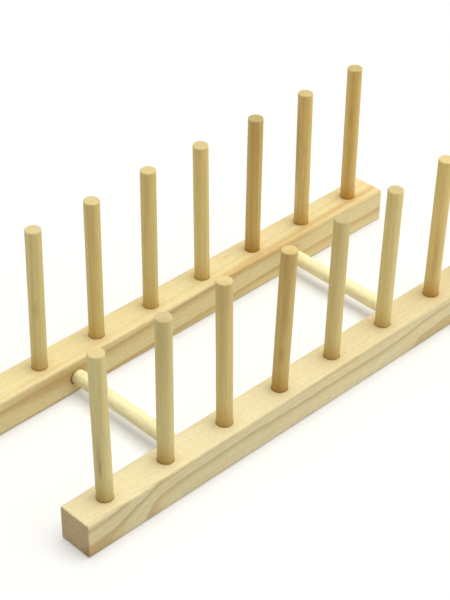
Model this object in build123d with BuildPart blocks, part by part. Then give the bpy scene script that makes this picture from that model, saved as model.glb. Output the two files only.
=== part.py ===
"""A wooden stand that holds plates on edge between two rows of upright pegs.

Two square rails lie side by side along X. Each rail has a row of round pegs glued upright into
blind drilled holes in its top, and two cross dowels, glued into blind holes in the inner faces,
hold the rails apart. A plate stands in the slot between two neighbouring pegs of both rows.

Frame: +X along the rails, +Y from the front rail to the back rail, +Z up. The origin is on the
surface that the stand rests on, under the middle of the stand. Millimetres.
"""

import os
from math import radians, tan

from build123d import *

# Rails: planed square battens
RAIL_LENGTH = 350.0
RAIL_WIDTH = 22.5
RAIL_HEIGHT = 22.5
RAIL_SPACING = 109.0  # between the centre lines of the two rails
LONG_EDGE_ROUNDING = 1.2  # sanded long edges
END_EDGE_ROUNDING = 0.7  # lightly sanded edges of the sawn ends

# Dowels: one stock, all cut to one length, for the pegs and for the cross dowels
DOWEL_DIAMETER = 9.5
DOWEL_LENGTH = 110.0
DOWEL_END_ROUNDING = 0.6

# Pegs
PEGS_PER_RAIL = 8
PEG_PITCH = 44.0
PEG_HOLE_DEPTH = 15.0

# Cross dowels
CROSS_DOWEL_SPACING = 179.0  # between the two cross dowels, along the rails
CROSS_DOWEL_NAMES = ("left_cross_dowel", "right_cross_dowel")

# Drilled holes
DRILL_POINT_ANGLE = 118.0
HOLE_EDGE_BREAK = 0.35  # width of the 45 degree bevel at the mouth
HOLE_RUN_OUT = 2.0  # how far the bevel's cone is cut on outside the rail

# The holes are marked and drilled by hand, so few pegs stand quite evenly or quite square to
# their rail. Both tables run from the peg nearest -X to the one nearest +X.
# How far each hole is off its even place, along X
PEG_OFFSETS = {
    "front": (0.5, -0.25, 0.0, -0.5, -1.25, -0.75, -0.5, 0.0),
    "back": (0.0, 1.75, 1.0, 0.0, -1.25, -1.5, -1.0, -0.75),
}
# How far each peg leans, in degrees (towards +X, towards +Y)
PEG_LEANS = {
    "front": (
        (0.0, 1.25), (0.5, 0.5), (0.5, 1.25), (1.5, -1.0),
        (1.0, -0.5), (0.5, -1.0), (1.5, -0.25), (0.5, 0.0),
    ),
    "back": (
        (0.5, 0.0), (0.75, -0.5), (-0.25, -0.75), (0.5, 0.5),
        (-0.75, 0.0), (0.25, -0.25), (-0.25, 0.0), (0.5, 0.25),
    ),
}

# Worked out from the sizes above
dowel_radius = DOWEL_DIAMETER / 2
drill_point_depth = dowel_radius / tan(radians(DRILL_POINT_ANGLE / 2))
rail_gap = RAIL_SPACING - RAIL_WIDTH
cross_hole_depth = (DOWEL_LENGTH - rail_gap) / 2
first_peg_x = -PEG_PITCH * (PEGS_PER_RAIL - 1) / 2
rail_centre_y = {"front": -RAIL_SPACING / 2, "back": RAIL_SPACING / 2}
inner_side = {"front": 1, "back": -1}  # the way the inner face of each rail looks, along Y
cross_dowel_xs = (-CROSS_DOWEL_SPACING / 2, CROSS_DOWEL_SPACING / 2)


def peg_x(row, number):
    """Where the middle of a peg's hole is along X."""
    return first_peg_x + number * PEG_PITCH + PEG_OFFSETS[row][number]


def peg_mouth(row, number):
    """The plane at the mouth of a peg's hole, its normal along the peg and out of the rail."""
    lean_x, lean_y = PEG_LEANS[row][number]
    direction = Vector(tan(radians(lean_x)), tan(radians(lean_y)), 1)
    position = (peg_x(row, number), rail_centre_y[row], RAIL_HEIGHT)
    return Plane(origin=position, x_dir=Vector(1, 0, -direction.X), z_dir=direction)


def cross_mouth(row, x):
    """The plane at the mouth of a cross dowel's hole, its normal out of the rail's inner face."""
    side = inner_side[row]
    position = (x, rail_centre_y[row] + side * RAIL_WIDTH / 2, RAIL_HEIGHT / 2)
    return Plane(origin=position, x_dir=(1, 0, 0), z_dir=(0, side, 0))


def drill(mouth, depth):
    """Cut a blind hole with a pointed bottom and a broken edge into the part being built."""
    section = Plane(origin=mouth.origin, x_dir=mouth.x_dir, z_dir=-mouth.y_dir)
    with BuildSketch(section) as half_section:
        with BuildLine():
            Polyline(
                (0, -depth - drill_point_depth),
                (dowel_radius, -depth),
                (dowel_radius, -HOLE_EDGE_BREAK),
                (dowel_radius + HOLE_EDGE_BREAK + HOLE_RUN_OUT, HOLE_RUN_OUT),
                (0, HOLE_RUN_OUT),
                close=True,
            )
        make_face()
    revolve(half_section.sketch, axis=Axis(mouth.origin, mouth.z_dir), mode=Mode.SUBTRACT)


def build_rail(row):
    """One rail with its peg holes and its two cross dowel holes."""
    with BuildPart() as rail:
        with BuildSketch(Plane.YZ.offset(-RAIL_LENGTH / 2)):
            with Locations((rail_centre_y[row], RAIL_HEIGHT / 2)):
                Rectangle(RAIL_WIDTH, RAIL_HEIGHT)
        extrude(amount=RAIL_LENGTH)
        fillet(rail.edges().filter_by(Axis.X), LONG_EDGE_ROUNDING)
        end_faces = rail.faces().filter_by(Axis.X)
        fillet(end_faces.edges(), END_EDGE_ROUNDING)
        for number in range(PEGS_PER_RAIL):
            drill(peg_mouth(row, number), PEG_HOLE_DEPTH)
        for x in cross_dowel_xs:
            drill(cross_mouth(row, x), cross_hole_depth)
    return rail


def build_dowel(end_plane):
    """One dowel with lightly rounded ends, standing on the given plane."""
    with BuildPart() as dowel:
        with BuildSketch(end_plane):
            Circle(dowel_radius)
        extrude(amount=DOWEL_LENGTH)
        fillet(dowel.edges().filter_by(GeomType.CIRCLE), DOWEL_END_ROUNDING)
    return dowel


def keep(piece, name):
    """Label a finished piece and write it as its own file."""
    piece.part.label = name
    export_step(piece.part, f"parts/{name}.step")
    print(f"{name:18} volume {piece.part.volume:10.1f} mm3")


os.makedirs("parts", exist_ok=True)

for row in ("front", "back"):
    keep(build_rail(row), f"{row}_rail")
    for number in range(PEGS_PER_RAIL):
        peg_foot = peg_mouth(row, number).offset(-PEG_HOLE_DEPTH)
        keep(build_dowel(peg_foot), f"{row}_peg_{number + 1}")

for name, x in zip(CROSS_DOWEL_NAMES, cross_dowel_xs):
    dowel_end = cross_mouth("front", x).offset(-cross_hole_depth)
    keep(build_dowel(dowel_end), name)
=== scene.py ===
"""The looks of a wooden plate stand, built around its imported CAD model.

Two square pine rails carry a row of dowel pegs each, and two cross dowels join them. Every
piece is a mesh of its own in the place of its CAD node, dressed in procedural wood. Places
and sizes come from the frame, in metres; the meshes are built in millimetres and scaled down.
"""

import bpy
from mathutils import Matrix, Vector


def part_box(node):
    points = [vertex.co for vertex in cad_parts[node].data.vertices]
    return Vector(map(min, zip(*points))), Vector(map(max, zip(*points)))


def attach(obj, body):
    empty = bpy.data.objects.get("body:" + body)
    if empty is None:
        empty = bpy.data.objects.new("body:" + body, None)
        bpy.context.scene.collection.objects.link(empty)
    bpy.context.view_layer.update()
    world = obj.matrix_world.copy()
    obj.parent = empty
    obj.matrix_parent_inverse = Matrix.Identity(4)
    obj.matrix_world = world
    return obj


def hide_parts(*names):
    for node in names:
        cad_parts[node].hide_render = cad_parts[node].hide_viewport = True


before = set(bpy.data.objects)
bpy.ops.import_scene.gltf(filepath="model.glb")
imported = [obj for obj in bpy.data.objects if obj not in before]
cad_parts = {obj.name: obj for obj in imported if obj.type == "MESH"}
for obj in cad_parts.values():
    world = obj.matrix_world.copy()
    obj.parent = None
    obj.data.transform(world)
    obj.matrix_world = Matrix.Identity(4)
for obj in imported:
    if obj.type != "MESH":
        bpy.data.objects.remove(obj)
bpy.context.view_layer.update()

import logging
import math
from dataclasses import dataclass, field, fields
from enum import Enum
from typing import Any, Callable, Iterable, Sequence, Union

import bmesh
import bpy
import numpy as np
from mathutils import Matrix, Vector, noise

MM = 0.001
BODY = "root"

PEG_SINK = 15.0  # how deep a peg stands in its rail, in millimetres
BEYOND_TIP = 500.0  # a place past a peg's tip, where no second rail is
DRILL_POINT_ANGLE = 118.0
PEG_HOLE_MARK = (0.14, 0.18)  # how strong the painted shadow line and the painted soft shade round a peg's hole are
# the same painted shadow line and shade, round a cross dowel's hole
CROSS_HOLE_MARK = (0.55, 0.45)
# a painted shadow crescent on the -X side of each cross dowel's hole: its strength and its shift
SHADOW_CRESCENT_MARK = 0.85
SHADOW_CRESCENT_SHIFT = 1.0  # how far the painted shadow crescent at a cross dowel's hole lies towards -X
# the colour of the painted shadow line round a hole
HOLE_SHADOW = (0.20, 0.12, 0.04)
# the colour of the painted contact shadow on a dowel, just above a rail's face
CONTACT_SHADOW_COLOUR = (0.20, 0.11, 0.035)
STREAK_SHARES = (0.82, 0.67, 0.62)  # a streak's colour as a share of the latewood's
RELIEF_DEPTH = 0.05  # of the wood grain, in millimetres
VEIN_START = 25.0  # how far along the rail a vein fades in
END_BAND = 2.0  # how much of a dowel's end its centre is taken from
SAW_REACH = 5.0  # how far down a dowel its slanted end still shows

Number = Union["Value", float]
Colour = tuple[float, float, float]
Curve = tuple[tuple[float, float], ...]

log = logging.getLogger("plate_stand")


# ---------------------------------------------------------------- shader sheets


class Value:
    """One number on a node sheet: an output socket that takes part in arithmetic."""

    def __init__(self, sheet: "NodeSheet", socket: bpy.types.NodeSocket) -> None:
        """Hold the socket and the sheet that further nodes are added to."""
        self.sheet = sheet
        self.socket = socket

    def __add__(self, other: Number) -> "Value":
        """self + other."""
        return self.sheet.maths("ADD", self, other)

    def __radd__(self, other: Number) -> "Value":
        """other + self."""
        return self.sheet.maths("ADD", other, self)

    def __sub__(self, other: Number) -> "Value":
        """self - other."""
        return self.sheet.maths("SUBTRACT", self, other)

    def __rsub__(self, other: Number) -> "Value":
        """other - self."""
        return self.sheet.maths("SUBTRACT", other, self)

    def __mul__(self, other: Number) -> "Value":
        """self * other."""
        return self.sheet.maths("MULTIPLY", self, other)

    def __rmul__(self, other: Number) -> "Value":
        """other * self."""
        return self.sheet.maths("MULTIPLY", other, self)

    def __truediv__(self, other: Number) -> "Value":
        """self / other."""
        return self.sheet.maths("DIVIDE", self, other)

    def __abs__(self) -> "Value":
        """The size of self."""
        return self.sheet.maths("ABSOLUTE", self)

    def root(self) -> "Value":
        """The square root."""
        return self.sheet.maths("SQRT", self)

    def floor(self) -> "Value":
        """The whole number below."""
        return self.sheet.maths("FLOOR", self)

    def fraction(self) -> "Value":
        """What is left above the whole number below."""
        return self.sheet.maths("FRACT", self)

    def step(self, low: float, high: float) -> "Value":
        """A smooth step that is 0 at low and 1 at high, whichever of the two is larger."""
        inputs = {"Value": self, "From Min": low, "From Max": high, "To Min": 0.0, "To Max": 1.0}
        return self.sheet.value("ShaderNodeMapRange", {"interpolation_type": "SMOOTHSTEP"}, inputs)


class NodeSheet:
    """A material while it is being drawn up: its node tree, and short ways to add to it."""

    def __init__(self, name: str) -> None:
        """Start an empty material.

        Args:
            name: The material's name.
        """
        self.material = bpy.data.materials.new(name)
        self.material.use_nodes = True
        self.tree = self.material.node_tree
        self.tree.nodes.clear()

    def node(
        self, kind: str, settings: dict[str, Any] | None = None, inputs: dict[Any, Any] | None = None
    ) -> bpy.types.Node:
        """Add a node, settings first, then its inputs.

        Args:
            kind: The node's type.
            settings: Attributes to set; "points" are a Float Curve's (place, height) pairs.
            inputs: For each socket, by name or number, a number, a tuple, a Value or a socket.

        Returns:
            The new node.
        """
        made = self.tree.nodes.new(kind)
        for attribute, setting in (settings or {}).items():
            if attribute == "points":
                self._bend(made, setting)
            else:
                setattr(made, attribute, setting)
        for socket, given in (inputs or {}).items():
            source = given.socket if isinstance(given, Value) else given
            if isinstance(source, bpy.types.NodeSocket):
                self.tree.links.new(source, made.inputs[socket])
            else:
                made.inputs[socket].default_value = source
        return made

    @staticmethod
    def _bend(curve: bpy.types.Node, points: Sequence[tuple[float, float]]) -> None:
        """Give a Float Curve node its points.

        Args:
            curve: The node.
            points: At least two (place, height) pairs from 0 to 1, in order.
        """
        line = curve.mapping.curves[0]
        line.points[0].location = points[0]
        line.points[1].location = points[-1]
        for point in points[1:-1]:
            line.points.new(*point)
        curve.mapping.update()

    def value(
        self,
        kind: str,
        settings: dict[str, Any] | None = None,
        inputs: dict[Any, Any] | None = None,
        output: Union[int, str] = 0,
    ) -> Value:
        """Add a node, as node does, and take the given output as a Value."""
        return Value(self, self.node(kind, settings, inputs).outputs[output])

    def maths(self, operation: str, *operands: Number) -> Value:
        """Add one Math node."""
        return self.value("ShaderNodeMath", {"operation": operation}, dict(enumerate(operands)))

    def vector_maths(self, operation: str, first: Any, second: Any = None, number: bool = False) -> Value:
        """Add one Vector Math node.

        Args:
            operation: What it does.
            first: A vector.
            second: The second vector, where the operation takes one.
            number: Whether the result is a number, and not a vector.

        Returns:
            The result.
        """
        inputs = {0: first} if second is None else {0: first, 1: tuple(second)}
        output = "Value" if number else 0
        return self.value("ShaderNodeVectorMath", {"operation": operation}, inputs, output)

    def vector(self, x: Number, y: Number, z: Number) -> Value:
        """Join three numbers into a vector."""
        return self.value("ShaderNodeCombineXYZ", None, {0: x, 1: y, 2: z})

    def split(self, vector: Value) -> tuple[Value, Value, Value]:
        """Take a vector apart into its three numbers."""
        parts = self.node("ShaderNodeSeparateXYZ", None, {0: vector})
        return tuple(Value(self, socket) for socket in parts.outputs)

    def dot(self, vector: Value, direction: Sequence[float]) -> Value:
        """How far a vector goes in a fixed direction."""
        return self.vector_maths("DOT_PRODUCT", vector, direction, number=True)

    def place(self) -> Value:
        """Where the shaded point is in the row frame, in millimetres."""
        inputs = {0: self.node("ShaderNodeTexCoord").outputs["Object"], "Scale": 1 / MM}
        return self.value("ShaderNodeVectorMath", {"operation": "SCALE"}, inputs)

    def facing(self, direction: Sequence[float]) -> Value:
        """How squarely the surface lies across a fixed direction, from 0 to 1."""
        coordinates = self.node("ShaderNodeTexCoord")
        return abs(self.dot(Value(self, coordinates.outputs["Normal"]), direction))

    def noise(self, x: Number, y: Number, z: Number, detail: float = 2.0, roughness: float = 0.5) -> Value:
        """Smooth noise around 0, about 1 from its lowest to its highest.

        Args:
            x: The place in the noise, in steps of one feature.
            y: The same.
            z: The same.
            detail: How many finer layers are added.
            roughness: How strong each finer layer is next to the one before.

        Returns:
            The noise.
        """
        where = self.vector(x, y, z)
        inputs = {"Vector": where, "Scale": 1.0, "Detail": detail, "Roughness": roughness}
        return self.value("ShaderNodeTexNoise", None, inputs) - 0.5

    def chance(self, number: Value) -> Value:
        """A random number from 0 to 1 that depends on the given one alone."""
        return self.value("ShaderNodeTexWhiteNoise", {"noise_dimensions": "1D"}, {"W": number})

    def nearest(self, number: Value, places: Sequence[float]) -> Value:
        """How far a number is from the nearest of some fixed ones.

        Args:
            number: The number.
            places: The fixed ones.

        Returns:
            The distance.
        """
        least = abs(number - places[0])
        for place in places[1:]:
            least = self.maths("MINIMUM", least, abs(number - place))
        return least

    def curve(self, number: Value, points: Curve) -> Value:
        """A smooth curve through given points.

        Args:
            number: Where on the curve to read.
            points: (place, height) pairs in any unit, in order.

        Returns:
            The curve's height there.
        """
        places, heights = zip(*points)
        start, length = places[0], places[-1] - places[0]
        low, span = min(heights), max(heights) - min(heights)
        unit = [((place - start) / length, (height - low) / span) for place, height in points]
        height = self.value("ShaderNodeFloatCurve", {"points": unit}, {"Value": (number - start) / length})
        return height * span + low

    def mix(self, amount: Number, first: Any, second: Any, blend: str = "MIX") -> Any:
        """Mix two colours.

        Args:
            amount: How much of the second colour.
            first: A Colour or a colour socket.
            second: The same.
            blend: The Mix node's blend type.

        Returns:
            The mixed colour's socket.
        """
        settings = {"data_type": "RGBA", "blend_type": blend}
        colours = [(*given, 1.0) if isinstance(given, tuple) else given for given in (first, second)]
        return self.node("ShaderNodeMix", settings, {0: amount, 6: colours[0], 7: colours[1]}).outputs[2]

    def lit(self, colour: Any, light: Value) -> Any:
        """Multiply a colour by a number."""
        return self.mix(1.0, colour, self.vector(light, light, light), "MULTIPLY")

    def tinted(self, amount: Number, colour: Any, tint: Colour) -> Any:
        """Multiply a colour by another one, as far as amount says."""
        return self.mix(amount, colour, self.mix(1.0, colour, tint, "MULTIPLY"))

    def surface(
        self, colour: Any, roughness: Number, height: Value, depth: float, glow: float = 0.0
    ) -> bpy.types.Material:
        """Close the sheet with a shader.

        Args:
            colour: The base colour's socket.
            roughness: The roughness.
            height: The relief, from 0 to about 1.
            depth: How deep a relief of 1 is, in millimetres.
            glow: How brightly the surface shines by itself.

        Returns:
            The finished material.
        """
        bump = self.node("ShaderNodeBump", None, {"Strength": 1.0, "Distance": depth * MM, "Height": height})
        inputs = {"Base Color": colour, "Roughness": roughness, "Normal": bump.outputs[0]}
        inputs |= {"Emission Color": (1.0, 1.0, 1.0, 1.0), "Emission Strength": glow}
        shader = self.node("ShaderNodeBsdfPrincipled", None, inputs)
        output = self.node("ShaderNodeOutputMaterial")
        self.tree.links.new(shader.outputs[0], output.inputs["Surface"])
        return self.material


# ---------------------------------------------------------------- wood


@dataclass(frozen=True)
class WoodTone:
    """The colours of one sort of wood.

    Attributes:
        early: The pale wood of spring.
        late: The dark line at the end of a year's growth.
        stain: The warm brown that latewood turns to where the saw only grazes it.
        end: What end grain multiplies the colour by.
    """

    early: Colour
    late: Colour
    stain: Colour
    end: Colour


PINE_END = (0.74, 0.645, 0.59)
PINE = WoodTone((0.75, 0.655, 0.375), (0.50, 0.38, 0.14), (0.56, 0.385, 0.145), PINE_END)
WARM_PINE = WoodTone((0.75, 0.635, 0.32), (0.48, 0.30, 0.095), (0.60, 0.38, 0.12), PINE_END)
DOWEL_PALE = WoodTone((0.777, 0.672, 0.29), (0.49, 0.38, 0.125), (0.65, 0.475, 0.175), (0.80, 0.76, 0.86))
DOWEL_ORANGE = WoodTone(
    (0.70, 0.485, 0.135), (0.385, 0.205, 0.037), (0.555, 0.315, 0.063), (0.86, 0.98, 1.30)
)
DOWEL_CREAM = WoodTone((0.80, 0.735, 0.42), (0.64, 0.55, 0.27), (0.745, 0.64, 0.325), (0.84, 0.80, 0.88))


def blend_tones(first: WoodTone, second: WoodTone, amount: float) -> WoodTone:
    """Mix two tones, colour by colour.

    Args:
        first: One tone.
        second: The other.
        amount: How much of the second.

    Returns:
        The mixed tone.
    """
    colours = {}
    for part in fields(WoodTone):
        pairs = zip(getattr(first, part.name), getattr(second, part.name))
        colours[part.name] = tuple(one + (two - one) * amount for one, two in pairs)
    return WoodTone(**colours)


@dataclass(frozen=True)
class Blotch:
    """A soft warm patch in the wood.

    Attributes:
        centre: Its middle, in millimetres.
        reach: How far it goes along X, Y and Z.
        strength: How strong it is, from 0 to 1.
        tint: What the warm colour is multiplied by.
    """

    centre: tuple[float, float, float]
    reach: tuple[float, float, float]
    strength: float
    tint: float = 1.0


@dataclass(frozen=True)
class Vein:
    """A narrow warm line along a rail's top, where the plane ran along one growth ring.

    Attributes:
        course: How far behind the rail's front side it runs, as (x, distance) pairs.
        width: Half its width.
        strength: How strong it is, from 0 to 1.
    """

    course: Curve
    width: float
    strength: float


@dataclass(frozen=True)
class PineFinish:
    """Planed, sanded and unfinished pine, cut from a log whose rings run through every face.

    Attributes:
        name: The material's name.
        pith: How far the heart of the log lies behind the rail's front side and above the floor.
        drift: How far the heart moves along the rail, as (x, shift) pairs.
        first_ring: The radius of one growth ring's edge.
        ring_width: The width of a year's growth.
        sides: How light the long sides are along the rail, as (x, factor) pairs. It stands in
            for side light that falls off along the stand, as well as for paler wood.
        faint_rings: How many weaker bands each year's growth holds.
        drift_up: Whether the heart moves up, and not away from the front side.
        top_fade: How much fainter the rings are on the top, which cuts them more squarely.
        fade_span: Where behind the front side that begins, and where it is complete.
        seed: Moves the noise, so that no two pieces are alike.
        tone: Its colours.
        blotches: Its warm patches.
        veins: The warm lines along its top.
    """

    name: str
    pith: tuple[float, float]
    drift: Curve
    first_ring: float
    ring_width: float
    sides: Curve
    faint_rings: int = 2
    drift_up: bool = False
    top_fade: float = 0.95
    fade_span: tuple[float, float] = (-1.0, 3.0)
    seed: float = 0.0
    tone: WoodTone = PINE
    blotches: tuple[Blotch, ...] = ()
    veins: tuple[Vein, ...] = ()

    def paint(self, middle: Vector, half: Vector, bores: "Sequence[Bore]") -> bpy.types.Material:
        """Draw up the material.

        Args:
            middle: The middle of the rail, in millimetres.
            half: Half its length, width and height.
            bores: Its holes, round which a shadow line and soft shade are painted.

        Returns:
            The finished material.
        """
        sheet, seed = NodeSheet(self.name), self.seed
        place = sheet.place()
        x, y, z = sheet.split(place)
        behind = y - (middle.y - half.y)
        radius = self._radius(sheet, x, y, z, behind)
        ring = (radius - self.first_ring) / self.ring_width
        late, grazed = self._bands(sheet, ring)
        fine, _ = self._bands(sheet, ring * float(self.faint_rings) + 0.37)
        end = sheet.facing((1, 0, 0)).step(0.55, 0.92)
        top = sheet.facing((0, 0, 1)).step(0.5, 0.95) * behind.step(*self.fade_span)
        shown = (1 - top * self.top_fade) * (1 - end * 0.75)

        fibre = sheet.noise(x * 0.035, y * 2.6 + seed, z * 2.6, 3.0, 0.62)
        layer = sheet.noise(x * 0.012 + seed, radius * 1.5, y * 0.25, 3.0, 0.6)
        fleck = sheet.noise(x * 0.17 + seed, y * 0.8, z * 0.8, 3.0, 0.7)
        patch = sheet.noise(x * 0.02, y * 0.09, z * 0.09 + seed)
        pore = sheet.noise(x * 0.16, y * 5.5, z * 5.5 + seed, 1.0)
        mottle = sheet.noise(x * 0.35, y * 0.8, z * 0.8 + seed)
        canal = pore.step(0.20, 0.30)

        broken = 1 + fibre * 0.8 + mottle * 0.6
        colour = sheet.mix(grazed * shown * broken * 0.50, self.tone.early, self.tone.stain)
        colour = sheet.mix((late * 0.68 + fine * 0.14) * shown * broken, colour, self.tone.late)
        warm = (patch * 1.3 + layer * 0.6 + fleck * 2.0).step(-0.4, 0.8)
        colour = sheet.mix(warm * 0.36, colour, self.tone.stain)
        for blotch in self.blotches:
            warm_colour = tuple(part * blotch.tint for part in self.tone.stain)
            colour = sheet.mix(self._spread(sheet, blotch, place, fibre), colour, warm_colour)
        for vein in self.veins:
            off = abs(behind - sheet.curve(x, vein.course)) / vein.width + fleck * 0.9
            begin = vein.course[0][0]
            drawn = off.step(1.2, 0.0) * x.step(begin, begin + VEIN_START) * sheet.facing((0, 0, 1))
            colour = sheet.mix(drawn * vein.strength, colour, self.tone.stain)
        edge = sheet.maths("MINIMUM", abs(y - middle.y), abs(z - middle.z)).step(half.y - 1.9, half.y - 0.3)
        line, shade = self._hollows(sheet, x, y, z, bores)
        rough_sawn = (mottle * 0.24 + fleck * 0.38) * (1 + end)
        # painted shade: the rail darker along its bottom, just above the floor
        foot = (z + mottle * 0.8).step(3.2, 0.3)
        light = 1 + fibre * 0.27 + layer * 0.16 + patch * 0.12 + rough_sawn - canal * 0.10 - edge * 0.07
        light = light - foot * 0.11
        side = sheet.facing((0, 1, 0)).step(0.5, 0.95)
        light = light * (1 + side * (sheet.curve(x, self.sides) - 1))
        # painted shade and shadow: a soft warm halo and a dark line round each hole
        colour = sheet.mix(shade, sheet.lit(colour, light), self.tone.stain)
        colour = sheet.tinted(end, sheet.mix(line, colour, HOLE_SHADOW), self.tone.end)

        roughness = 0.62 - late * 0.10 + fibre * 0.12 + end * 0.12 - edge * 0.06
        height = 0.5 + fibre * 0.9 + layer * 0.3 + late * shown * 0.25 - canal * 0.6 + end * pore * 1.2
        return sheet.surface(colour, roughness, height, RELIEF_DEPTH)

    @staticmethod
    def _spread(sheet: NodeSheet, blotch: Blotch, place: Value, fibre: Value) -> Value:
        """How strong one blotch is at the shaded point.

        Args:
            sheet: The node sheet.
            blotch: The blotch.
            place: The shaded point.
            fibre: The fibre noise, which frays the blotch's edge.

        Returns:
            The strength, from 0 to the blotch's own.
        """
        off = sheet.vector_maths("SUBTRACT", place, blotch.centre)
        distance = sheet.vector_maths("LENGTH", sheet.vector_maths("DIVIDE", off, blotch.reach), number=True)
        return (distance + fibre * 0.5).step(1.05, 0.15) * blotch.strength

    @staticmethod
    def _hollows(
        sheet: NodeSheet, x: Value, y: Value, z: Value, bores: "Sequence[Bore]"
    ) -> tuple[Value, Value]:
        """The painted shadow line and the painted soft shade round the holes in the top and in the inner
        side, with a painted shadow crescent beside each cross dowel.

        Args:
            sheet: The node sheet.
            x: Along the rail.
            y: Across the stand.
            z: Up.
            bores: The holes.

        Returns:
            How strong the line and the shade are, each from 0 to 1.
        """
        line, shade = 0.0, 0.0
        for upright, marks in ((True, PEG_HOLE_MARK), (False, CROSS_HOLE_MARK)):
            group = [bore for bore in bores if bore.upright is upright]
            mouth, radius = group[0].mouth, group[0].radius
            across = y - mouth.y if upright else z - mouth.z
            depth = z - mouth.z if upright else y - mouth.y
            surface = abs(depth).step(1.5, 0.6)
            middles = [bore.mouth.x for bore in group]
            gap = sheet.nearest(x, middles)
            gap = (gap * gap + across * across).root() - radius
            line = gap.step(0.6, 0.1) * surface * marks[0] + line
            shade = gap.step(6.5, 0.2) * surface * marks[1] + shade
            if not upright:
                # painted shadow: a dark crescent on the -X side of a cross dowel's hole
                shadow_crescent = sheet.nearest(x, [middle - SHADOW_CRESCENT_SHIFT for middle in middles])
                shadow_crescent = (shadow_crescent * shadow_crescent + across * across).root() - radius
                line = shadow_crescent.step(0.5, -0.1) * gap.step(0.0, 0.3) * surface * SHADOW_CRESCENT_MARK + line
        return line, shade

    def _radius(self, sheet: NodeSheet, x: Value, y: Value, z: Value, behind: Value) -> Value:
        """How far the shaded point is from the heart of the log, in millimetres.

        Args:
            sheet: The node sheet.
            x: Along the rail.
            y: Across the stand.
            z: Up.
            behind: How far behind the rail's front side.

        Returns:
            The distance.
        """
        shift = sheet.curve(x, self.drift)
        sway = sheet.noise(x * 0.022 + self.seed, y * 0.04, z * 0.04) * 0.9
        sway = sway + sheet.noise(x * 0.075, y * 0.09, z * 0.09 + self.seed) * 0.55
        back, above = behind - self.pith[0], z - self.pith[1]
        if self.drift_up:
            above = above - shift
        else:
            back = back - shift
        return (back * back + above * above).root() + sway

    @staticmethod
    def _bands(sheet: NodeSheet, ring: Value) -> tuple[Value, Value]:
        """Dark and grazed wood, from the count of rings.

        Args:
            sheet: The node sheet.
            ring: The count of rings from some ring's edge, which need not be whole.

        Returns:
            The narrow dark line at a ring's outer edge, and the broad warm band before it.
        """
        strength = sheet.chance(ring.floor()) * 0.3 + 0.75
        part = ring.fraction()
        edge = part.step(1.0, 0.86) * strength
        return part.step(0.60, 0.88) * edge, part.step(0.35, 0.88) * edge


@dataclass(frozen=True)
class Streak:
    """A dark mark in a dowel, drawn out along the grain.

    Attributes:
        turn: Where it is round the dowel, in degrees from +X towards +Y.
        height: Where its middle is along the dowel, in millimetres from the foot.
        reach: How far it runs up and down from there.
        width: Half its width round the dowel, in degrees.
        strength: How dark it is, from 0 to 1.
    """

    turn: float
    height: float
    reach: float
    width: float
    strength: float


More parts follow.
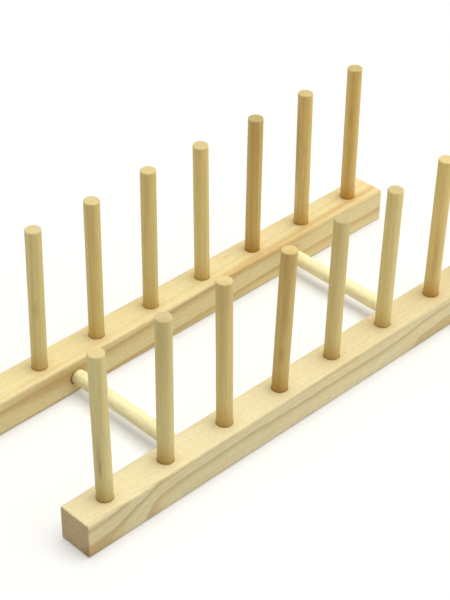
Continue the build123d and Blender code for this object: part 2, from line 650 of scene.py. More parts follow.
@dataclass(frozen=True)
class DowelFinish:
    """Turned and unfinished dowel wood, with the rings of a log far bigger than the dowel.

    Attributes:
        name: The material's name.
        tone: Its colours.
        turn: The way to the heart of the log, in degrees round the dowel.
        heart: How far away the heart is, in millimetres.
        ring_width: The width of a year's growth.
        slope: How much the grain runs off the dowel's line.
        seed: Moves the noise, so that no two pieces are alike.
        streaks: The dark marks.
        light: What the whole colour is multiplied by.
        foot: How strong the painted shade is where the dowel leaves the rail, darker and browner there, from
            0 to 1.
        top: What the colour of its sawn ends is multiplied by.
    """

    name: str
    tone: WoodTone
    turn: float
    heart: float = 34.0
    ring_width: float = 2.9
    slope: float = 0.012
    seed: float = 0.0
    streaks: tuple[Streak, ...] = ()
    light: float = 1.0
    foot: float = 0.5
    top: float = 1.0

    def paint(self, foot: Vector, along: Vector, mouths: tuple[float, float]) -> bpy.types.Material:
        """Draw up the material for a dowel in its place.

        Args:
            foot: The middle of the dowel's lower or front end, in millimetres.
            along: The unit vector along the dowel.
            mouths: How far from the foot it leaves one rail and goes into the other, if it does.

        Returns:
            The finished material.
        """
        sheet, seed = NodeSheet(self.name), self.seed
        side, up = side_ways(along)
        local = sheet.vector_maths("SUBTRACT", sheet.place(), foot)
        h, a, b = (sheet.dot(local, way) for way in (along, side, up))
        late, grazed = self._rings(sheet, h, a, b)

        fibre = sheet.noise(h * 0.05 + seed, a * 2.2, b * 2.2, 3.0, 0.65)
        streaky = sheet.noise(h * 0.012, a * 0.55 + seed, b * 0.55)
        mottle = sheet.noise(h * 0.09 + seed, a * 0.45, b * 0.45)
        fleck = sheet.noise(h * 0.20, a * 0.8 + seed, b * 0.8, 3.0, 0.6)
        pore = sheet.noise(h * 0.2, a * 5.0, b * 5.0 + seed, 1.0)
        canal = pore.step(0.18, 0.30)
        end = sheet.facing(along).step(0.6, 0.92)
        sunk = abs(h - (mouths[0] + mouths[1]) / 2) - (mouths[1] - mouths[0]) / 2
        # painted shade: the dowel darker and browner near where it leaves a rail
        painted_foot_shade = (sunk + fibre * 8 + mottle * 6).step(-17.0, 0.5)
        # painted shadow: a thin dark line on the dowel just above the rail's face
        painted_contact_shadow = (sunk + mottle * 1.2).step(-1.6, -0.2)
        dark = tuple(part * share for part, share in zip(self.tone.late, STREAK_SHARES))

        colour = sheet.mix(grazed * 0.3 * (1 - end * 0.6), self.tone.early, self.tone.stain)
        colour = sheet.mix(late * 0.24 * (1 - end * 0.6), colour, self.tone.late)
        warm = (streaky * 1.2 + fleck * 1.6 + mottle * 0.8).step(-0.25, 0.5)
        colour = sheet.mix(warm * 0.62, colour, self.tone.stain)
        for streak in self.streaks:
            mark = self._mark(streak, h, a, b, fibre + mottle) * (1 + fibre * 1.2)
            colour = sheet.mix(mark, colour, dark)
        colour = sheet.mix(painted_foot_shade * self.foot, colour, DOWEL_ORANGE.stain)
        colour = sheet.mix(painted_contact_shadow * 0.22, colour, CONTACT_SHADOW_COLOUR)
        light = 1.02 + fibre * 0.32 + streaky * 0.18 + mottle * 0.24 + fleck * 0.46 - canal * 0.16
        colour = sheet.lit(colour, light * self.light)
        colour = sheet.tinted(end, colour, tuple(part * self.top for part in self.tone.end))

        roughness = 0.58 - late * 0.08 + fibre * 0.14 + end * 0.14
        height = 0.5 + fibre * 1.0 + streaky * 0.2 + late * 0.2 - canal * 0.6 + end * pore * 1.2
        return sheet.surface(colour, roughness, height, RELIEF_DEPTH)

    def _rings(self, sheet: NodeSheet, h: Value, a: Value, b: Value) -> tuple[Value, Value]:
        """The rings of the log that the dowel was turned from.

        Args:
            sheet: The node sheet.
            h: The place along the dowel.
            a: The place across it, one way.
            b: The place across it, the other way.

        Returns:
            The dark line at a ring's edge and the warm band before it, each from 0 to 1.
        """
        turn = math.radians(self.turn)
        toward = a * math.cos(turn) + b * math.sin(turn) + self.heart
        beside = b * math.cos(turn) - a * math.sin(turn)
        sway = sheet.noise(h * 0.018 + self.seed, a * 0.06, b * 0.06)
        radius = (toward * toward + beside * beside).root() + h * self.slope + sway * 1.6
        ring = radius / self.ring_width + self.seed * 0.37
        strength = sheet.chance(ring.floor() + self.seed) * 0.7 + 0.3
        part = ring.fraction()
        late = part.step(0.45, 0.85) * part.step(1.0, 0.80) * strength
        grazed = part.step(0.1, 0.75) * part.step(1.0, 0.75) * strength
        return late, grazed

    @staticmethod
    def _mark(streak: Streak, h: Value, a: Value, b: Value, fray: Value) -> Value:
        """How dark one streak makes the shaded point.

        Args:
            streak: The streak.
            h: The place along the dowel.
            a: The place across it, one way.
            b: The place across it, the other way.
            fray: The noise that frays the streak's edge.

        Returns:
            The darkness, from 0 to the streak's strength.
        """
        turn = math.radians(streak.turn)
        around = (a * math.cos(turn) + b * math.sin(turn)) / (a * a + b * b + 0.01).root()
        beside = (around + fray * 0.1).step(math.cos(math.radians(streak.width)), 1.0)
        lengthwise = (abs(h - streak.height) / streak.reach).step(1.0, 0.1)
        return beside * lengthwise * streak.strength


def side_ways(along: Vector) -> tuple[Vector, Vector]:
    """Two unit vectors square to a dowel's: the one nearest +X, and the one square to both."""
    side = (Vector((1, 0, 0)) - along * along.x).normalized()
    return side, along.cross(side)


# ---------------------------------------------------------------- mesh work


def put_in_scene(name: str, data: Any) -> bpy.types.Object:
    """Make an object of a mesh, a light or a camera, at the origin and in the scene."""
    made = bpy.data.objects.new(name, data)
    bpy.context.scene.collection.objects.link(made)
    return made


class Skin:
    """The points and faces of one piece while it is being built, in millimetres."""

    def __init__(self) -> None:
        """Start with nothing."""
        self.points: list[Vector] = []
        self.faces: list[tuple[int, ...]] = []

    def point(self, place: Vector) -> int:
        """Add one point and return its number."""
        self.points.append(Vector(place))
        return len(self.points) - 1

    def ring(self, places: Iterable[Vector]) -> list[int]:
        """Add a loop of points and return their numbers."""
        return [self.point(place) for place in places]

    def bridge(self, first: Sequence[int], second: Sequence[int]) -> None:
        """Join two loops of the same length with a band of four-sided faces.

        Args:
            first: The numbers of one loop's points.
            second: The other's.
        """
        count = len(first)
        for here in range(count):
            after = (here + 1) % count
            self.faces.append((first[here], first[after], second[after], second[here]))

    def close(self, loop: Sequence[int], tip: Vector) -> None:
        """Close a loop with a fan of triangles to one point."""
        middle = self.point(tip)
        for here, corner in enumerate(loop):
            self.faces.append((corner, loop[(here + 1) % len(loop)], middle))

    def stand_for(self, node: str, material: bpy.types.Material) -> bpy.types.Object:
        """Turn the skin into a smooth-shaded piece in the place of its CAD node.

        Args:
            node: The CAD node.
            material: The piece's material.

        Returns:
            The piece, in metres, its faces looking out.
        """
        mesh = bpy.data.meshes.new(f"{node}_wood")
        mesh.from_pydata([place * MM for place in self.points], [], self.faces)
        shape = bmesh.new()
        shape.from_mesh(mesh)
        bmesh.ops.recalc_face_normals(shape, faces=shape.faces)
        shape.to_mesh(mesh)
        shape.free()
        mesh.shade_smooth()
        mesh.materials.append(material)
        piece = put_in_scene(mesh.name, mesh)
        weighting = piece.modifiers.new("flat_faces_stay_flat", "WEIGHTED_NORMAL")
        weighting.weight = 100
        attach(piece, BODY)
        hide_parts(node)
        return piece


def box_of(node: str) -> tuple[Vector, Vector]:
    """The lowest and the highest corner of a CAD node's box, in millimetres."""
    return tuple(Vector(corner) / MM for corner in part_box(node))


def ripple(place: Vector, length: float, seed: float) -> float:
    """Smooth noise in space, about -1 to 1.

    Args:
        place: Where, in millimetres.
        length: The size of a bump, in millimetres.
        seed: Moves the noise.

    Returns:
        The noise.
    """
    return noise.noise(Vector(place) / length + Vector((seed, -seed, 0.5 * seed)))


@dataclass(frozen=True)
class Bore:
    """A blind hole drilled into a rail, in millimetres.

    Attributes:
        mouth: Where its centre line meets the rail's face.
        inward: The unit vector into the wood.
        radius: Its radius.
        depth: Its depth, without the drill's point.
    """

    mouth: Vector
    inward: Vector
    radius: float
    depth: float

    @property
    def upright(self) -> bool:
        """Whether the hole is in the rail's top, and not in its side."""
        return abs(self.inward.z) > 0.5


@dataclass
class Dowel:
    """One round dowel, turned a little unevenly and cut off with a saw.

    Attributes:
        node: The CAD node that it stands for.
        finish: Its wood.
        saw_tilt: How much its far end is out of square, in degrees.
        saw_turn: Which way that end slopes, in degrees round the dowel.
        mouths: Where it leaves one rail and goes into the other, from its foot; a peg never does.
        end_rounding: The sanded edge at each end, in millimetres.
        facets: How many sides the mesh has.
        spacing: The distance between its rings of points.
        unevenness: How far the surface strays inwards.
    """

    node: str
    finish: DowelFinish
    saw_tilt: float = 0.0
    saw_turn: float = 0.0
    mouths: tuple[float, float] = (PEG_SINK, BEYOND_TIP)
    end_rounding: float = 0.75
    facets: int = 64
    spacing: float = 2.5
    unevenness: float = 0.07
    foot: Vector = field(init=False)
    tip: Vector = field(init=False)
    radius: float = field(init=False)

    def __post_init__(self) -> None:
        """Read the dowel's centre line and radius from its CAD node."""
        low, high = box_of(self.node)
        longest = int(np.argmax(high - low))
        corners = {tuple(round(c / MM, 3) for c in v.co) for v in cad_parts[self.node].data.vertices}
        places = np.array(sorted(corners))
        reach = places[:, longest]
        ends = (places[reach < reach.min() + END_BAND], places[reach > reach.max() - END_BAND])
        near, far = ((end.min(axis=0) + end.max(axis=0)) / 2 for end in ends)
        along = (far - near) / np.linalg.norm(far - near)
        run = (places - near) @ along
        self.foot = Vector(near + along * run.min())
        self.tip = Vector(near + along * run.max())
        self.radius = float(np.linalg.norm(places - near - np.outer(run, along), axis=1).max())

    @property
    def along(self) -> Vector:
        """The unit vector from foot to tip."""
        return (self.tip - self.foot).normalized()

    @property
    def length(self) -> float:
        """The length, in millimetres."""
        return (self.tip - self.foot).length

    def build(self) -> bpy.types.Object:
        """Make the mesh and dress it.

        Returns:
            The finished piece.
        """
        skin = Skin()
        loops = [skin.ring(self._loop(height, inset)) for height, inset in self._outline()]
        for first, second in zip(loops, loops[1:]):
            skin.bridge(first, second)
        skin.close(loops[0], self._at(0.0, 0.0, 0.0))
        skin.close(loops[-1], self._at(self.length, 0.0, 0.0))
        material = self.finish.paint(self.foot, self.along, self.mouths)
        return skin.stand_for(self.node, material)

    def bore(self, face: Vector, normal: Vector) -> Bore:
        """The hole that the dowel stands in.

        Args:
            face: A point on the rail's face.
            normal: That face's outward normal.

        Returns:
            The hole, which is as deep as the dowel's end.
        """
        reach = (face - self.foot).dot(normal) / self.along.dot(normal)
        mouth = self.foot + self.along * reach
        end = self.foot if (self.foot - face).dot(normal) < 0 else self.tip
        return Bore(mouth, (end - mouth).normalized(), self.radius, (end - mouth).length)

    def _outline(self) -> list[tuple[float, float]]:
        """The dowel's half outline.

        Returns:
            (height, inset from the full radius) pairs, from the middle of the foot to the tip's.
        """
        rounding = self.end_rounding
        steps = [math.radians(angle) for angle in range(0, 91, 18)]
        turn_up = [(rounding * (1 - math.cos(s)), rounding * (1 - math.sin(s))) for s in steps]
        disc = [self.radius * share for share in (0.85, 0.6, 0.35)] + [rounding + 0.25]
        body = self.length - 2 * rounding - 1.0
        count = round(body / self.spacing)
        straight = [(rounding + 0.5 + body * step / count, 0.0) for step in range(count + 1)]
        start = [(0.0, inset) for inset in disc] + turn_up
        return start + straight + [(self.length - height, inset) for height, inset in reversed(start)]

    def _loop(self, height: float, inset: float) -> list[Vector]:
        """One ring of points, in millimetres.

        Args:
            height: Along the dowel.
            inset: How far inside the full radius.

        Returns:
            The points.
        """
        angles = (2 * math.pi * facet / self.facets for facet in range(self.facets))
        return [self._at(height, self.radius - inset, angle) for angle in angles]

    def _at(self, height: float, reach: float, angle: float) -> Vector:
        """A point of the surface, with the dowel's unevenness and its slanted end.

        Args:
            height: Along the dowel.
            reach: Out from the centre line.
            angle: Round the dowel, in radians.

        Returns:
            The point, in millimetres.
        """
        side, up = side_ways(self.along)
        outward = side * math.cos(angle) + up * math.sin(angle)
        nominal = self.foot + self.along * height + outward * reach
        seed = self.finish.seed
        stray = 0.6 + 0.6 * ripple(outward * 6 + self.along * height * 0.35, 9.0, seed)
        stray += 0.35 * ripple(outward * 14 + self.along * height * 0.12, 3.0, seed + 7)
        stray = min(max(stray, 0.0), 1.4) * self.unevenness * reach / self.radius
        slope = math.tan(math.radians(self.saw_tilt))
        drop = slope * (self.radius + reach * math.cos(angle - math.radians(self.saw_turn)))
        near_tip = min(max(1 - (self.length - height) / SAW_REACH, 0.0), 1.0)
        return nominal - outward * stray - self.along * drop * near_tip


@dataclass
class Rail:
    """One square rail with eased edges, sawn ends and the holes for its dowels.

    Attributes:
        node: The CAD node that it stands for.
        finish: Its wood.
        bores: Its holes, each in the top or in one long side.
        edge_radius: The rounding of the long edges, in millimetres.
        end_radius: The rounding at the sawn ends.
        mouth_bevel: The broken edge of each hole.
        clearance: The gap all round between a hole's wall and its dowel.
        patch_reach: Half the length of the patch of mesh round each hole, along the rail.
        flat_cells: How many faces lie across each flat side.
        corner_cells: How many faces lie round each long edge.
        cell: The length of a face along the rail.
        wear: How far the edges and faces stray inwards.
    """

    node: str
    finish: PineFinish
    bores: list[Bore]
    edge_radius: float = 1.5
    end_radius: float = 1.1
    mouth_bevel: float = 0.16
    clearance: float = 0.04
    patch_reach: float = 8.5
    flat_cells: int = 16
    corner_cells: int = 6
    cell: float = 1.6
    wear: float = 0.10
    low: Vector = field(init=False)
    high: Vector = field(init=False)

    def __post_init__(self) -> None:
        """Read the rail's box from its CAD node."""
        self.low, self.high = box_of(self.node)

    @property
    def middle(self) -> Vector:
        """The middle of the rail."""
        return (self.low + self.high) / 2

    @property
    def half(self) -> Vector:
        """Half the rail's length, width and height."""
        return (self.high - self.low) / 2

    @property
    def side_cells(self) -> int:
        """How many faces lie from the middle of one long edge to the middle of the next."""
        return self.flat_cells + self.corner_cells

    def build(self) -> bpy.types.Object:
        """Make the mesh and dress it.

        Returns:
            The finished piece.
        """
        skin = Skin()
        stations = self._stations()
        grid = {}
        patches = {self._patch(bore, stations): bore for bore in self.bores}
        loop_length = 4 * self.side_cells

        def corner(station: int, step: int) -> int:
            """Find a point of the outer surface, which is made when first asked for.

            Args:
                station: Which loop it is on.
                step: Where on that loop, once round or further.

            Returns:
                The point's number.
            """
            key = (station, step % loop_length)
            if key not in grid:
                x, inset = stations[station]
                grid[key] = skin.point(self._worn(self._profile(x, inset)[key[1]]))
            return grid[key]

        for station in range(len(stations) - 1):
            for step in range(loop_length):
                if not any(self._covers(patch, station, step) for patch in patches):
                    near = (corner(station, step), corner(station, step + 1))
                    skin.faces.append(near + (corner(station + 1, step + 1), corner(station + 1, step)))
        for patch, bore in patches.items():
            self._drill(skin, self._rim(patch, corner), bore)
        for station in (0, len(stations) - 1):
            self._cap(skin, [corner(station, step) for step in range(loop_length)])
        material = self.finish.paint(self.middle, self.half, self.bores)
        return skin.stand_for(self.node, material)

    def _stations(self) -> list[tuple[float, float]]:
        """Where the loops of points stand along the rail.

        Returns:
            (x, inset of the loop) pairs, from one sawn end to the other.
        """
        edges = [self.low.x + self.end_radius, self.high.x - self.end_radius]
        fixed = []
        for bore in self.bores:
            left = bore.mouth.x - self.patch_reach
            side = 2 * self.patch_reach / self.flat_cells
            fixed += [left + side * step for step in range(self.flat_cells + 1)]
        fixed = sorted(fixed + edges)
        places = []
        for start, stop in zip(fixed, fixed[1:]):
            count = max(1, round((stop - start) / self.cell))
            places += [start + (stop - start) * step / count for step in range(count)]
        places.append(fixed[-1])
        turns = [math.radians(angle) for angle in (90, 67.5, 45, 22.5)]
        rounding = [(self.end_radius * math.sin(t), self.end_radius * (1 - math.cos(t))) for t in turns]
        first = [(edges[0] - reach, inset) for reach, inset in rounding]
        last = [(edges[1] + reach, inset) for reach, inset in reversed(rounding)]
        return first + [(x, 0.0) for x in places] + last

    def _profile(self, x: float, inset: float) -> list[Vector]:
        """The rail's rounded square section.

        Args:
            x: Where along the rail.
            inset: How far inside the full section.

        Returns:
            The loop of points, which starts at the middle of the lower front edge and runs
            along the bottom, up the back, along the top and down the front.
        """
        radius = self.edge_radius - inset
        reach = self.half.y - self.edge_radius
        turns = [90 * step / self.corner_cells for step in range(self.corner_cells // 2)]
        bottom = [(-reach, 225 + turn) for turn in turns]
        bottom += [(-reach + 2 * reach * step / self.flat_cells, 270) for step in range(self.flat_cells)]
        bottom += [(reach, 270 + turn) for turn in turns]
        loop = []
        for quarter in range(4):
            turn = Matrix.Rotation(math.radians(90 * quarter), 2)
            for centre, degrees in bottom:
                angle = math.radians(degrees)
                outward = Vector((math.cos(angle), math.sin(angle))) * radius
                place = turn @ (Vector((centre, -reach)) + outward)
                loop.append(Vector((x, self.middle.y + place.x, self.middle.z + place.y)))
        return loop

    def _worn(self, place: Vector) -> Vector:
        """Move a point of the outer surface inwards by the wear there.

        Args:
            place: The point, in millimetres.

        Returns:
            The worn point.
        """
        across = Vector((0, place.y - self.middle.y, place.z - self.middle.z))
        nearer_edge = min(abs(across.y), abs(across.z)) / self.half.y
        edge = min(max((nearer_edge - 0.8) / 0.2, 0.0), 1.0)
        seed = self.finish.seed
        dent = max(ripple(place, 11.0, seed), 0.0) * 1.4 + max(ripple(place, 3.0, seed + 3), 0.0) * 0.5
        sweep = max(ripple(Vector((place.x * 0.4, place.y, place.z)), 14.0, seed + 9), 0.0)
        depth = self.wear * (edge * dent + 0.35 * sweep)
        return place - across.normalized() * depth

    def _patch(self, bore: Bore, stations: Sequence[tuple[float, float]]) -> tuple[int, int]:
        """Where a hole's square of mesh starts.

        Args:
            bore: The hole.
            stations: The loops along the rail.

        Returns:
            The number of its first loop, and of its first point along that loop.
        """
        left = bore.mouth.x - self.patch_reach
        distances = [abs(x - left) for x, _ in stations]
        start = distances.index(min(distances))
        quarter = 2 if bore.upright else 1 if bore.inward.y < 0 else 3
        return start, quarter * self.side_cells + self.corner_cells // 2

    def _covers(self, patch: tuple[int, int], station: int, step: int) -> bool:
        """Whether a face of the plain surface lies in a hole's square of mesh."""
        inside = patch[0] <= station < patch[0] + self.flat_cells
        return inside and patch[1] <= step < patch[1] + self.flat_cells

    def _rim(self, patch: tuple[int, int], corner: Callable[[int, int], int]) -> list[int]:
        """The points round a hole's square of mesh.

        Args:
            patch: Where the square starts.
            corner: Gives the number of a point of the outer surface.

        Returns:
            The numbers of the points, once round.
        """
        span, cells = self.flat_cells, range(self.flat_cells)
        walk = [(go, 0) for go in cells] + [(span, go) for go in cells]
        walk += [(span - go, span) for go in cells] + [(0, span - go) for go in cells]
        return [corner(patch[0] + along, patch[1] + across) for along, across in walk]

    def _drill(self, skin: Skin, rim: Sequence[int], bore: Bore) -> None:
        """Fill a square of mesh with a drilled hole.

        Args:
            skin: The rail's skin.
            rim: The points round the square.
            bore: The hole.
        """
        lengthwise = Vector((1, 0, 0))
        crosswise = (skin.points[rim[self.flat_cells * 2]] - skin.points[rim[self.flat_cells]]).normalized()
        spokes = []
        for step in range(len(rim)):
            angle = math.radians(225) + 2 * math.pi * step / len(rim)
            spokes.append(lengthwise * math.cos(angle) + crosswise * math.sin(angle))
        bevel = self.mouth_bevel
        mouth = [bore.mouth + spoke * (bore.radius + bevel) for spoke in spokes]
        rings = []
        for share in (0.3, 0.55, 0.75, 0.88, 0.96, 1.0):
            rings.append([skin.points[old].lerp(new, share) for old, new in zip(rim, mouth)])
        wall = bore.radius + self.clearance
        point = bore.radius / math.tan(math.radians(DRILL_POINT_ANGLE / 2))
        steps = [(wall + (bore.radius + bevel - wall) * 0.4, bevel * 0.4), (wall, bevel)]
        steps += [(wall, bore.depth * share) for share in (0.3, 0.65, 1.0)]
        steps.append((bore.radius * 0.5, bore.depth + point * 0.5))
        for reach, depth in steps:
            rings.append([bore.mouth + spoke * reach + bore.inward * depth for spoke in spokes])
        loop = list(rim)
        for places in rings:
            after = skin.ring(places)
            skin.bridge(loop, after)
            loop = after
        skin.close(loop, bore.mouth + bore.inward * (bore.depth + point))

    def _cap(self, skin: Skin, loop: Sequence[int]) -> None:
        """Close a sawn end with a grid of four-sided faces.

        Args:
            skin: The rail's skin.
            loop: The end's outermost points, from the middle of one corner.
        """
        span = self.side_cells
        starts = ((0, 1), (span, 1), (3 * span, -1), (4 * span, -1))
        bottom, right, top, left = (
            [loop[(start + way * step) % len(loop)] for step in range(span + 1)] for start, way in starts
        )

        def between(first: int, second: int, share: float) -> Vector:
            """A place on the way from one point to another."""
            return skin.points[first] * (1 - share) + skin.points[second] * share

        rows = [bottom]
        for up in range(1, span):
            t = up / span
            row = [left[up]]
            for go in range(1, span):
                s = go / span
                edge = between(bottom[go], top[go], t) + between(left[up], right[up], s)
                lower, upper = between(bottom[0], bottom[span], s), between(top[0], top[span], s)
                row.append(skin.point(edge - lower * (1 - t) - upper * t))
            rows.append(row + [right[up]])
        rows.append(top)
        for lower_row, upper_row in zip(rows, rows[1:]):
            for go in range(span):
                skin.faces.append((lower_row[go], lower_row[go + 1], upper_row[go + 1], upper_row[go]))


# ---------------------------------------------------------------- sub-assemblies


class Side(Enum):
    """The two rails, by where they lie."""

    FRONT = "front"
    BACK = "back"


@dataclass(frozen=True)
class PegLook:
    """What tells one peg from the next.

    Attributes:
        orange: How orange its wood is, from 0 to 1.
        light: What its colour is multiplied by: partly the peg's own tone, and partly painted light, higher
            towards +X where the light is brighter.
        turn: The way to the heart of its log, in degrees.
        foot: How strong the painted shade at its foot is, darker and browner, from 0 to 1.
        saw_tilt: How much its top is out of square, in degrees.
        saw_turn: Which way its top slopes.
        top: What the colour of its sawn top is multiplied by.
        streaks: Its dark marks.
    """

    orange: float
    light: float
    turn: float
    foot: float
    saw_tilt: float
    saw_turn: float
    top: float = 1.0
    streaks: tuple[Streak, ...] = ()


@dataclass
class RailWithPegs:
    """One rail and the row of pegs that stands in it.

    Attributes:
        side: Which rail it is.
        finish: The rail's wood.
        looks: One look for each peg, from -X to +X.
        cross_dowels: The dowels that end in this rail.
    """

    side: Side
    finish: PineFinish
    looks: Sequence[PegLook]
    cross_dowels: Sequence[Dowel]

    def build(self) -> list[bpy.types.Object]:
        """Make the rail and its pegs.

        Returns:
            The pieces.
        """
        node = f"{self.side.value}_rail"
        low, high = box_of(node)
        pegs = [self._peg(number, look) for number, look in enumerate(self.looks, start=1)]
        bores = [peg.bore(high, Vector((0, 0, 1))) for peg in pegs]
        inner, normal = (high, (0, 1, 0)) if self.side is Side.FRONT else (low, (0, -1, 0))
        bores += [dowel.bore(inner, Vector(normal)) for dowel in self.cross_dowels]
        return [Rail(node, self.finish, bores).build()] + [peg.build() for peg in pegs]

    def _peg(self, number: int, look: PegLook) -> Dowel:
        """One peg of the row.

        Args:
            number: Its number, from 1 at -X.
            look: Its look.

        Returns:
            The peg, not yet built.
        """
        node = f"{self.side.value}_peg_{number}"
        finish = DowelFinish(
            name=f"{node}_dowel_wood",
            tone=blend_tones(DOWEL_PALE, DOWEL_ORANGE, look.orange),
            turn=look.turn,
            seed=number * 3.7 + (0.0 if self.side is Side.FRONT else 41.0),
            streaks=look.streaks,
            light=look.light,
            foot=look.foot,
            top=look.top,
        )
        return Dowel(node, finish, look.saw_tilt, look.saw_turn)


@dataclass
class Stand:
    """The whole stand.

    Attributes:
        front: The front rail's wood.
        back: The back rail's wood.
        front_pegs: The looks of the front pegs.
        back_pegs: The looks of the back pegs.
    """

    front: PineFinish
    back: PineFinish
    front_pegs: Sequence[PegLook]
    back_pegs: Sequence[PegLook]

    def build(self) -> list[bpy.types.Object]:
        """Make every piece.

        Returns:
            The pieces.
        """
        crosses = [self._cross_dowel(number, side) for number, side in enumerate(("left", "right"))]
        front = RailWithPegs(Side.FRONT, self.front, self.front_pegs, crosses)
        back = RailWithPegs(Side.BACK, self.back, self.back_pegs, crosses)
        return front.build() + back.build() + [dowel.build() for dowel in crosses]

    @staticmethod
    def _cross_dowel(number: int, side: str) -> Dowel:
        """One dowel that joins the rails.

        Args:
            number: 0 for the left one and 1 for the right one, which is a little lighter: painted light, for
                the brighter light on the right.
            side: Its name's first word.

        Returns:
            The dowel, not yet built.
        """
        node = f"{side}_cross_dowel"
        finish = DowelFinish(
            name=f"{node}_wood",
            tone=DOWEL_CREAM,
            turn=70.0 + 40.0 * number,
            seed=91.0 + 6.0 * number,
            # painted light: the right dowel is made lighter than the left, for the brighter light on it and
            # its underside
            light=1.01 + 0.07 * number,
            foot=0.1,
        )
        start = box_of(node)[0].y
        mouths = (box_of("front_rail")[1].y - start, box_of("back_rail")[0].y - start)
        return Dowel(node, finish, mouths=mouths)


# ---------------------------------------------------------------- studio


@dataclass(frozen=True)
class Viewpoint:
    """Where the camera stands and where it looks.

    Attributes:
        azimuth: The camera's bearing, in degrees; 0 looks along +Y.
        elevation: Its height above the horizon, in degrees.
        roll: How far it leans to one side, in degrees.
        distance: How far it is from the aim, in metres.
        aim: The point in the middle of the view, in metres.
        lens: The focal length, in millimetres on a 36 mm sensor.
    """

    azimuth: float = -44.58
    elevation: float = 36.316
    roll: float = 0.547
    distance: float = 1.0855
    aim: tuple[float, float, float] = (0.0351, 0.04866, 0.0)
    lens: float = 103.76

    def place(self) -> None:
        """Make the camera and give it to the scene."""
        turn, rise = math.radians(self.azimuth), math.radians(self.elevation)
        right = Vector((math.cos(turn), math.sin(turn), 0))
        back = Vector((math.sin(turn) * math.cos(rise), -math.cos(turn) * math.cos(rise), math.sin(rise)))
        pose = Matrix((right, back.cross(right), back)).transposed().to_4x4()
        pose = pose @ Matrix.Rotation(math.radians(self.roll), 4, "Z")
        pose.translation = Vector(self.aim) + back * self.distance
        lens = bpy.data.cameras.new("camera")
        lens.lens = self.lens
        lens.sensor_width = 36.0
        lens.clip_end = 100.0
        camera = put_in_scene("camera", lens)
        camera.matrix_world = pose
        bpy.context.scene.camera = camera


@dataclass(frozen=True)
class SoftSun:
    """A large soft white light far away.

    Attributes:
        name: Its name.
        direction: The way from the stand to the light.
        strength: How bright it is.
        spread: How wide it looks from the stand, in degrees.
    """

    name: str
    direction: tuple[float, float, float]
    strength: float
    spread: float

    def place(self) -> None:
        """Make the light."""
        lamp = bpy.data.lights.new(self.name, "SUN")
        lamp.energy = self.strength
        lamp.angle = math.radians(self.spread)
        light = put_in_scene(self.name, lamp)
        light.rotation_euler = Vector(self.direction).to_track_quat("Z", "Y").to_euler()


@dataclass
class Studio:
    """A plain white floor, soft lights and the camera.

    Attributes:
        suns: The lights.
        view: The camera's place.
        floor_half: Half the side of the floor, in metres.
        floor_drop: How far the floor lies below the stand's feet, in metres.
        floor_colour: The floor's colour.
        floor_glow: How brightly the floor shines by itself, which keeps shadows on it pale.
        ambient: The brightness of the surroundings.
    """

    suns: Sequence[SoftSun]
    view: Viewpoint = Viewpoint()
    floor_half: float = 30.0
    floor_drop: float = 0.05 * MM
    floor_colour: Colour = (0.545, 0.542, 0.52)
    floor_glow: float = 0.285
    ambient: float = 0.04

    def build(self) -> None:
        """Make everything that isn't the stand."""
        self.view.place()
        for sun in self.suns:
            sun.place()
        self._floor()
        self._surroundings()
        bpy.context.scene.view_settings.view_transform = "Standard"

    def _floor(self) -> None:
        """Lay the floor."""
        half, level = self.floor_half, -self.floor_drop
        mesh = bpy.data.meshes.new("floor")
        corners = [(-half, -half, level), (half, -half, level), (half, half, level), (-half, half, level)]
        mesh.from_pydata(corners, [], [(0, 1, 2, 3)])
        sheet = NodeSheet("white_floor")
        x, y, _ = sheet.split(sheet.place())
        cloud = sheet.noise(x * 0.004, y * 0.004, 0.0)
        colour = sheet.lit(self.floor_colour, 1 + cloud * 0.01)
        mesh.materials.append(sheet.surface(colour, 0.9, cloud, 0.01, self.floor_glow))
        put_in_scene("floor", mesh)

    def _surroundings(self) -> None:
        """Fill the room with an even pale light."""
        world = bpy.data.worlds.new("pale_room")
        world.use_nodes = True
        background = world.node_tree.nodes["Background"]
        background.inputs["Color"].default_value = (1.0, 1.0, 1.0, 1.0)
        background.inputs["Strength"].default_value = self.ambient
        bpy.context.scene.world = world


# ---------------------------------------------------------------- the stand's own values


FRONT_PINE = PineFinish(
    name="front_rail_pine",
    pith=(50.0, 0.0),
    drift=(
        (-175, 4.5), (-155, 3.9), (-144, 2.9), (-134, 1.85), (-125, 0.75), (-112, 0.24), (-95, 0.05),
        (-62, -0.2), (-25, 0.05), (0, 0.25), (25, 0.2), (50, 0.1), (72, -0.2), (95, -1.05), (115, -1.3),
        (175, -2.2),
    ),
    sides=((-175, 0.97), (-120, 0.97), (-50, 1.01), (0, 1.06), (80, 1.09), (175, 1.12)),
    first_ring=52.45,
    ring_width=2.86,
    seed=4.0,
    blotches=(
        Blotch((-170, -66, -1), (27, 8, 13), 1.0, 0.92),
        Blotch((-174, -66, 1), (14, 7, 7), 0.45, 0.86),
        Blotch((-129, -66, 0), (8, 5, 10), 0.7),
        Blotch((118, -66, -2.5), (66, 6, 14), 0.80),
        Blotch((110, -54, 23), (150, 22, 5), 0.28),
    ),
)
BACK_PINE = PineFinish(
    name="back_rail_pine",
    pith=(-15.0, -20.0),
    drift=(
        (-175, -1.5), (-100, -0.9), (-67, 0.0), (-25, 1.9), (20, 3.4), (77, 6.0), (127, 7.0), (175, 7.3)
    ),
    drift_up=True,
    sides=((-175, 1.0), (-60, 1.0), (0, 1.02), (60, 1.07), (160, 1.14), (175, 1.14)),
    first_ring=42.1,
    ring_width=13.75,
    faint_rings=4,
    top_fade=0.92,
    seed=17.0,
    tone=WARM_PINE,
    veins=(
        Vein(((10, 0.0), (37, 2.4), (62, 3.2), (100, 4.3), (130, 5.4), (176, 6.8)), 3.4, 0.72),
        Vein(((-176, 3.0), (-120, 3.8), (-70, 4.5), (-20, 6.5), (40, 9.0)), 1.6, 0.25),
    ),
    blotches=(
        Blotch((46, 59.0, 23), (5, 2.5, 3), 0.35),
        Blotch((-108, 43, 15), (38, 4, 9), 0.6),
        Blotch((60, 43, 21), (70, 3, 4), 0.5),
    ),
)
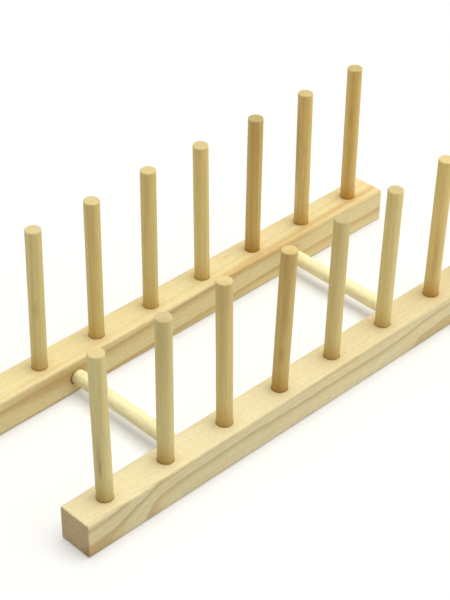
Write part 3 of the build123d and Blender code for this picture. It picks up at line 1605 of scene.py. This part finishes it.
# Each peg: orange, light, turn, foot, saw_tilt, saw_turn, top, streaks
FRONT_PEGS = (
    PegLook(0.00, 0.92, 200.0, 0.45, 1.0, 40.0, 1.16, (
        Streak(209.0, 38.0, 8.0, 15.0, 0.50), Streak(207.0, 45.0, 17.0, 20.0, 0.38),
    )),
    PegLook(0.08, 0.91, 20.0, 0.60, 1.5, 200.0, 1.02, (Streak(225.0, 98.0, 45.0, 75.0, 0.22),)),
    PegLook(0.42, 0.98, 130.0, 0.55, 1.0, 90.0, 1.13, (
        Streak(215.0, 75.0, 40.0, 24.0, 0.22), Streak(225.0, 105.0, 22.0, 80.0, 0.20),
    )),
    PegLook(0.80, 0.935, 250.0, 0.88, 2.0, 140.0, 1.16, (
        Streak(227.0, 75.0, 32.0, 24.0, 0.30), Streak(220.0, 42.0, 7.0, 26.0, 0.32),
        Streak(225.0, 103.0, 20.0, 80.0, 0.22),
    )),
    PegLook(0.28, 0.97, 60.0, 0.55, 1.0, 10.0, 0.86),
    PegLook(0.22, 1.06, 310.0, 0.45, 1.5, 60.0, 0.88),
    PegLook(0.56, 1.13, 170.0, 1.0, 2.0, 220.0, 0.98, (Streak(222.0, 42.0, 30.0, 26.0, 0.30),)),
    PegLook(0.30, 1.00, 95.0, 0.5, 1.0, 330.0),
)
BACK_PEGS = (
    PegLook(0.25, 1.00, 15.0, 0.4, 1.0, 80.0),
    PegLook(0.10, 1.01, 145.0, 0.45, 3.5, 110.0, 1.02, (Streak(225.0, 58.0, 9.0, 24.0, 0.20),)),
    PegLook(0.42, 1.025, 280.0, 0.30, 1.0, 300.0, 1.01, (Streak(225.0, 90.0, 30.0, 24.0, 0.15),)),
    PegLook(0.42, 1.03, 70.0, 0.40, 1.5, 120.0, 1.00),
    PegLook(0.32, 1.11, 190.0, 0.45, 2.0, 240.0, 0.88),
    PegLook(0.88, 0.98, 330.0, 0.85, 1.0, 60.0, 0.80, (Streak(230.0, 98.0, 30.0, 60.0, 0.12),)),
    PegLook(0.64, 1.095, 110.0, 0.60, 2.5, 10.0, 0.86, (Streak(172.0, 75.0, 38.0, 26.0, 0.48),)),
    PegLook(0.84, 1.12, 225.0, 0.90, 1.5, 150.0, 0.80, (
        Streak(212.0, 76.0, 12.0, 24.0, 0.24), Streak(215.0, 45.0, 25.0, 22.0, 0.15),
    )),
)
SUNS = (
    SoftSun("overhead_softbox", (0.15, -0.04, 1.0), 3.80, 58.0),
    SoftSun("front_right_fill", (0.80, -0.78, 0.45), 0.72, 60.0),
    SoftSun("back_left_fill", (-0.75, 0.70, 0.40), 0.25, 60.0),
)


def main() -> None:
    """Build the studio and the stand, and report each piece."""
    logging.basicConfig(level=logging.INFO, format="%(message)s")
    Studio(SUNS).build()
    stand = Stand(FRONT_PINE, BACK_PINE, FRONT_PEGS, BACK_PEGS)
    for piece in stand.build():
        log.info("%s: %d faces", piece.name, len(piece.data.polygons))


if __name__ == "__main__":
    main()
